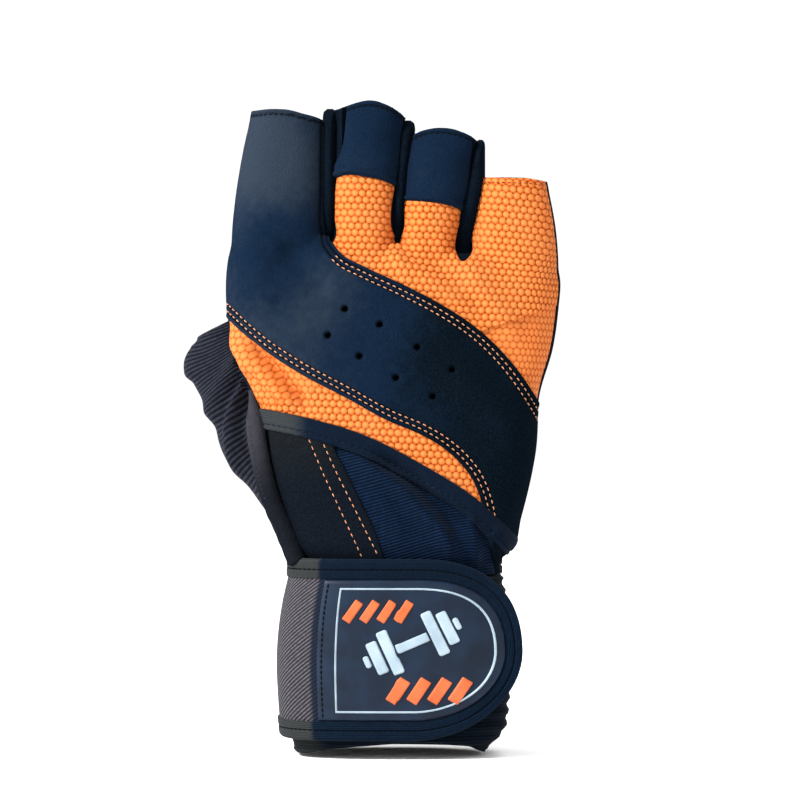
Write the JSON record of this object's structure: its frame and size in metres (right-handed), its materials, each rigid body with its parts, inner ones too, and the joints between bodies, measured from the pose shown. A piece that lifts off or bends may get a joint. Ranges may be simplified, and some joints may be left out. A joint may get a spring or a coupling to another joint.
{
  "type": "weightlifting glove",
  "caption": "Right-hand training glove with open fingertips, suede back, bubble knuckle panels, knitted thumb, elastic wrist wrap and a wide round-ended wrist strap.",
  "frame": {"origin": "centre of the wrist opening, at the height of the cuff's lowest edge", "axes": "+Z from the wrist to the fingertips, -Y out of the back of the hand, +X towards the little finger"},
  "size_m": [0.1231, 0.0639, 0.2148],
  "materials": {
    "navy_suede": "matt brushed suede, navy",
    "orange_bubble": "matt quilted bubble knit, bright orange",
    "navy_elastic": "matt ribbed elastic tape, navy",
    "navy_rib_knit": "soft ribbed knit, navy",
    "dark_suede": "matt suede, near black",
    "grey_suede": "matt suede, dark grey",
    "black_rib_knit": "soft ribbed knit, near black",
    "grey_twill_elastic": "matt diagonal twill elastic, grey",
    "navy_rubber": "smooth satin rubber, navy"
  },
  "bodies": {
    "root": {"back_panel": "navy_suede", "knuckle_panel": "orange_bubble", "lower_panel": "orange_bubble", "diagonal_binding": "navy_elastic", "wrist_gusset": "navy_rib_knit", "thumb_side_panel": "dark_suede", "thumb_roll": "grey_suede", "thumb_stall": "black_rib_knit", "palm_panel": "dark_suede", "fourchette_index_middle": "navy_suede", "fourchette_middle_ring": "navy_suede", "fourchette_ring_pinky": "navy_suede", "middle_band": "navy_suede", "ring_band": "navy_suede", "wrist_wrap": "navy_elastic", "strap": "grey_twill_elastic", "strap_binding": "navy_elastic", "strap_patch": "navy_rubber"}
  },
  "joints": []
}
